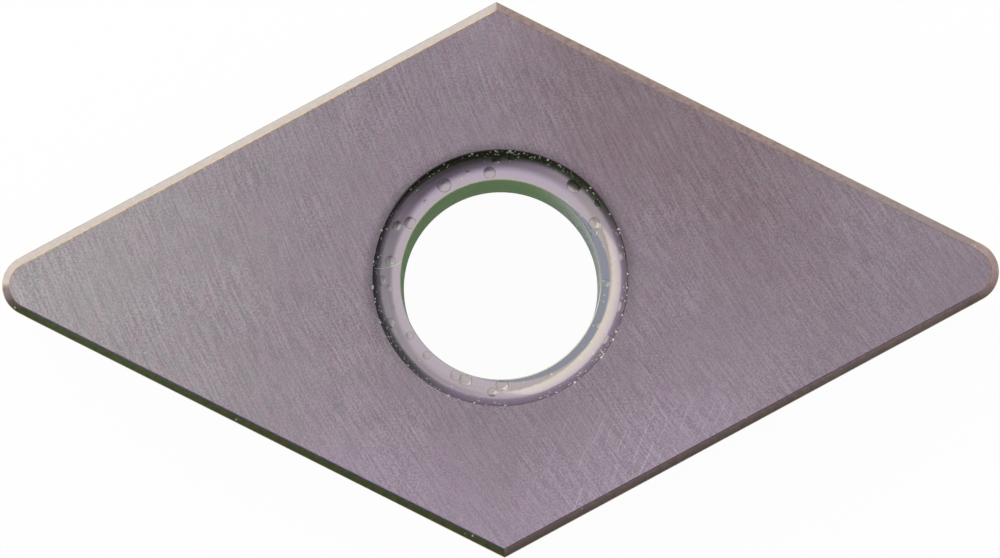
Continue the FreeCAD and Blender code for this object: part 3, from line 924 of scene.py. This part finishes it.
def fired_mouth(colours, sizes):
    """The mouth as it came from the press and the kiln, smooth as glaze under the coating.

    It is glossier than the ground sides, and less like a metal in front where the coating is
    thin. The glaze has a faint orange peel.
    """
    material, add, shader, point = start_material("coated ceramic, as fired")
    y = add(APART, [point], out="Y")
    from_bore = add(MINUS, [plan_length(add, point), sizes.bore_diameter / 2 / MM])
    across = add(OVER, [from_bore, sizes.mouth_width / MM])
    layers, bare_front = mouth_layers(add, point, colours, across)
    place = own_mark(add, PLACE)
    # Painted shade on the rim's bevel, darker at the back.
    painted_rim_edge_shade = overlap(add, (place, RIM_FOOT, RIM_FOOT + 0.4), (y, -2.5, 2.0, 0.3, 1))
    # Painted highlight: a pale line along the bore's edge at the back left and the front right.
    slant = add(UNSIGNED, [add(ALONG, [point, (-0.5, 0.866, 0.0)], out="Value")])
    painted_bore_highlight = overlap(add, (place, WALL_TOP + 0.5, WALL_TOP + 0.1), (slant, 0.8, 2.2, 0, 0.8))
    coat = lay(
        add,
        colours.mouth_inner,
        *layers,
        *pit_layers(add, point, colours, across),
        (glaze_marks(add, point), colours.speck),
        (painted_rim_edge_shade, colours.rim),
        (painted_bore_highlight, colours.bore_edge),
        (add(RAMP, [own_mark(add, BARED), *CHIP_INSIDE]), colours.bare),
    )
    orange_peel = add(NOISE, {"Vector": point, "Scale": 1 / 0.12, "Detail": 2.0})
    metallic = add(TIMES_PLUS, [bare_front, -0.6, 0.9])
    dress(add, shader, coat, metallic, 0.17, orange_peel, 0.002)
    return material


def fired_bore(colours):
    """The bore's wall as fired, matt and green, because hardly any coating reaches it.

    The powder's grain is far finer than a pixel, so what shows is the lumps it was pressed from.
    """
    material, add, shader, point = start_material("sparsely coated ceramic, as fired")
    # Painted light: the right side of the wall paler and bluer, where the key lamp lights it.
    right = add(RAMP, [add(APART, [point], out="X"), 0.7, 2.6])
    grain = add(NOISE, {"Vector": point, "Scale": 1 / 0.08, "Detail": 3.0})
    coat = lay(add, colours.bore, (right, colours.bore_right))
    coat = shaded(add, coat, add(RAMP, [grain, 0.3, 0.7, 0.85, 1.12]))
    dress(add, shader, coat, 0.0, 0.75, grain, 0.004)
    feed(shader, {"Specular IOR Level": 0.05})
    return material


def pit_marks(sizes):
    """A mesh of single vertices above the mouth, one for each pit, with the pit's radius."""
    mesh = bpy.data.meshes.new(PIECE)
    spots = []
    for bearing, distance, _ in MOUTH_PITS:
        turned = Matrix.Rotation(math.radians(bearing), 3, "Z") @ Vector((distance * MM, 0, 0))
        spots.append((turned.x, turned.y, 2 * sizes.thickness))
    mesh.from_pydata(spots, [], [])
    reach = mesh.attributes.new(REACH, "FLOAT", "POINT")
    reach.data.foreach_set("value", [width * MM / 2 for _, _, width in MOUTH_PITS])
    return mesh


class INSERT_OT_body(bpy.types.Operator):
    """Makes the insert with its worn edges and its finishes, in place of the plain solid"""

    bl_idname = "insert.body"
    bl_label = "Turning Insert"

    def execute(self, context):
        sizes = context.scene.insert_sizes
        colours = context.scene.insert_colours
        # Each finish starts a little beyond this place in the section and covers all after it.
        finishes = [
            (BORE_MIDDLE - 1.0, fired_bore(colours)),
            (WALL_TOP - 0.25, fired_mouth(colours, sizes)),
            (RIM, ground_face(colours)),
            (FACE_EDGE - 0.25, honed_edge(colours, "inner")),
            (FACE_EDGE + 0.25, ground_land(colours)),
            (LAND_EDGE - 0.25, honed_edge(colours, "outer")),
            (LAND_EDGE + 0.25, ground_flank(colours)),
        ]
        source = bpy.data.objects.new(PIECE, pit_marks(sizes))
        context.scene.collection.objects.link(source)
        modifier = source.modifiers.new("Turning Insert", "NODES")
        modifier.node_group = insert_tree(sizes, finishes)
        names = {item.name: item.identifier for item in own_properties(sizes)}
        for socket in modifier.node_group.interface.items_tree:
            if socket.name in names:
                modifier[socket.identifier] = getattr(sizes, names[socket.name])
        context.view_layer.update()
        evaluated = source.evaluated_get(context.evaluated_depsgraph_get())
        mesh = bpy.data.meshes.new_from_object(evaluated)
        if len(mesh.polygons) == 0:
            raise RuntimeError("the insert's tree made no faces")
        source.modifiers.clear()
        source.data = mesh
        mesh.name = PIECE
        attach(source, BODY)
        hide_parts(NODE)
        return {"FINISHED"}


def softbox(context, name, target, bearing, elevation, distance, size, tint_value, radiance):
    """A square lamp that faces the target, as bright as a white wall of that radiance."""
    lamp = bpy.data.lights.new(name, "AREA")
    lamp.shape = "RECTANGLE"
    lamp.size, lamp.size_y = size
    lamp.color = colour(tint_value)[:3]
    lamp.energy = math.pi * size[0] * size[1] * radiance
    turn = Euler((0, -math.radians(elevation), math.radians(bearing))).to_matrix()
    direction = turn @ Vector((1, 0, 0))
    made = bpy.data.objects.new(name, lamp)
    made.location = target + direction * distance
    made.rotation_euler = direction.to_track_quat("Z", "Y").to_euler()
    made.visible_camera = False
    context.scene.collection.objects.link(made)


def pale_floor(tint_value):
    """White card. What the camera or a reflection sees of it is plain white, and the small share
    that takes light keeps the insert's shadow."""
    material, add, shader, point = start_material("white card")
    grain = add(NOISE, {"Vector": point, "Scale": 1 / 0.6, "Detail": 2.0})
    card = shaded(add, tint_value, add(RAMP, [grain, 0.3, 0.7, 0.98, 1.0]))
    feed(shader, {"Base Color": card, "Roughness": 0.9})
    glow = add("ShaderNodeEmission", [(1, 1, 1, 1), 1.0])
    path = add("ShaderNodeLightPath").node.outputs
    seen = add(LARGER, [path["Is Camera Ray"], path["Is Glossy Ray"]])
    seen = add(LARGER, [seen, path["Is Transmission Ray"]])
    share = add(TIMES, [seen, 0.96])
    both = add("ShaderNodeMixShader", [share, shader.outputs["BSDF"], glow])
    feed(material.node_tree.nodes["Material Output"], {"Surface": both})
    return material


def light_tent(sizes):
    """A tent of white cloth round the insert: bright above and at the back left, dim in front."""
    world = bpy.data.worlds.new("light tent")
    world.use_nodes = True
    add = partial(node, world.node_tree)
    direction = add("ShaderNodeTexCoord", out="Generated")
    z = add(APART, [direction], out="Z")
    wall = sizes.tent_front
    for towards, low, high, tint_value in (
        ((0.8, 0.6, 0.0), 0.0, 0.9, sizes.tent_right),
        ((-0.87, 0.5, 0.0), -0.75, 0.6, sizes.tent_left),
    ):
        side = add(RAMP, [add(ALONG, [direction, towards], out="Value"), low, high])
        wall = lay(add, wall, (side, tint_value), blend=ADD_TINT)
    wall = shaded(add, wall, add(RAMP, [z, -0.1, 0.1, 0.7, 1.0]))
    cloth = lay(add, wall, (add(RAMP, [z, 0.5, 0.93]), sizes.tent_top))
    feed(world.node_tree.nodes["Background"], {"Color": cloth})
    return world


class INSERT_OT_studio(bpy.types.Operator):
    """Makes the pale floor, the light tent with its lamps, and the camera"""

    bl_idname = "insert.studio"
    bl_label = "Studio"

    def execute(self, context):
        scene = context.scene
        sizes = scene.studio_sizes
        half = sizes.floor_width / 2
        mesh = bpy.data.meshes.new("floor")
        corners = [(-half, -half, 0), (half, -half, 0), (half, half, 0), (-half, half, 0)]
        mesh.from_pydata(corners, [], [(0, 1, 2, 3)])
        mesh.materials.append(pale_floor(sizes.floor))
        floor = bpy.data.objects.new("floor", mesh)
        scene.collection.objects.link(floor)

        face = Vector((0, 0, scene.insert_sizes.thickness))
        scene.world = light_tent(sizes)
        softbox(context, "overhead softbox", face, 90, 86, 0.6, (0.9, 0.9), "FFFFFF", 0.12)
        softbox(context, "key softbox", face, 147, 26, 0.8, (1.66, 0.72), "FBFCE4", 0.94)

        camera = bpy.data.objects.new("camera", bpy.data.cameras.new("camera"))
        camera.data.lens = sizes.lens
        camera.data.clip_start = 1 * MM
        camera.data.clip_end = 10
        aimed = face + Vector((-0.014 * MM, -0.017 * MM, 0))
        camera.location = aimed + Vector((0, -sizes.camera_foot, sizes.camera_height))
        aim = (camera.location - aimed).to_track_quat("Z", "Y")
        roll = Matrix.Rotation(sizes.camera_roll, 3, "Z")
        camera.rotation_euler = (aim.to_matrix() @ roll).to_euler()
        scene.collection.objects.link(camera)
        scene.camera = camera
        scene.view_settings.view_transform = "Standard"
        return {"FINISHED"}


class INSERT_PT_panel(bpy.types.Panel):
    """Lists what this file makes"""

    bl_idname = "INSERT_PT_panel"
    bl_label = "Turning Insert"
    bl_space_type = "VIEW_3D"
    bl_region_type = "UI"
    bl_category = "Insert"

    def draw(self, context):
        layout = self.layout
        for group in GROUPS:
            values = getattr(context.scene, group)
            for item in own_properties(values):
                layout.prop(values, item.identifier)
        layout.operator(INSERT_OT_body.bl_idname)
        layout.operator(INSERT_OT_studio.bl_idname)


CLASSES = (InsertSizes, InsertColours, StudioSizes, INSERT_OT_body, INSERT_OT_studio, INSERT_PT_panel)
GROUPS = {"insert_sizes": InsertSizes, "insert_colours": InsertColours, "studio_sizes": StudioSizes}


def register():
    """Makes the classes known to Blender and hangs the properties on the scene."""
    for made in CLASSES:
        bpy.utils.register_class(made)
    for name, group in GROUPS.items():
        setattr(bpy.types.Scene, name, PointerProperty(type=group))


def unregister():
    """Takes back what register did."""
    for name in GROUPS:
        delattr(bpy.types.Scene, name)
    for made in reversed(CLASSES):
        bpy.utils.unregister_class(made)


def main():
    """Makes the insert and its studio."""
    register()
    bpy.ops.insert.body()
    bpy.ops.insert.studio()


if __name__ == "__main__":
    main()
